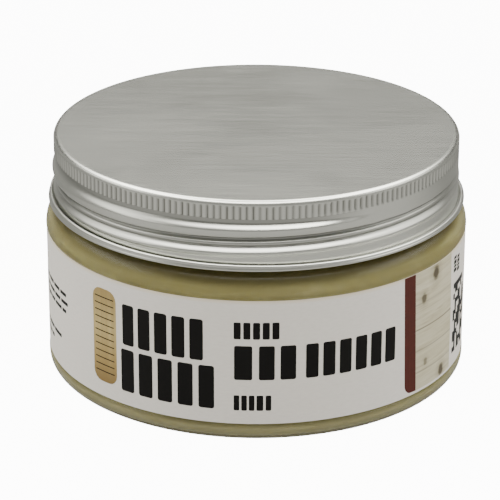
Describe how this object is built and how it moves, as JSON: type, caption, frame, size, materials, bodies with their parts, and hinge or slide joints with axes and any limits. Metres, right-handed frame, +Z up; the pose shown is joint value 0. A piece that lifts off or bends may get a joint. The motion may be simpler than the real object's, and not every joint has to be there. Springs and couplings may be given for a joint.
{
  "type": "screw-lid wax polish jar",
  "caption": "Squat clear plastic jar of set wax with a wrap-round paper label and a knurled aluminium screw lid that unscrews and lifts off.",
  "frame": {"origin": "centre of the jar's standing ring, on the surface that it rests on", "axes": "+Z up along the screw axis, -Y out of the middle of the label's front, +X to the right seen from the front"},
  "size_m": [0.0964, 0.0964, 0.0552],
  "materials": {
    "clear_plastic": "clear gloss PET",
    "wax": "soft satin olive-yellow wax",
    "label_paper": null,
    "satin_aluminium": "satin lacquered",
    "white_foam": "matt closed-cell foam"
  },
  "bodies": {
    "jar_body": {"jar": "clear_plastic", "wax": "wax", "label": "label_paper"},
    "liner_body": {"lid_liner": "white_foam"},
    "lid_body": {"lid": "satin_aluminium"}
  },
  "joints": [
    {"name": "lid_lift", "type": "slide", "parent": "jar_body", "child": "liner_body", "axis": [0, 0, 1], "range_m": [0, 0.0204]},
    {"name": "lid_turn", "type": "hinge", "parent": "liner_body", "child": "lid_body", "pos_m": [0, 0, 0.048], "axis": [0, 0, 1], "range_deg": [0, 1440]}
  ],
  "couplings": [
    {"joint": "lid_lift", "follows": "lid_turn", "m_per_rad": 0.00080851}
  ]
}
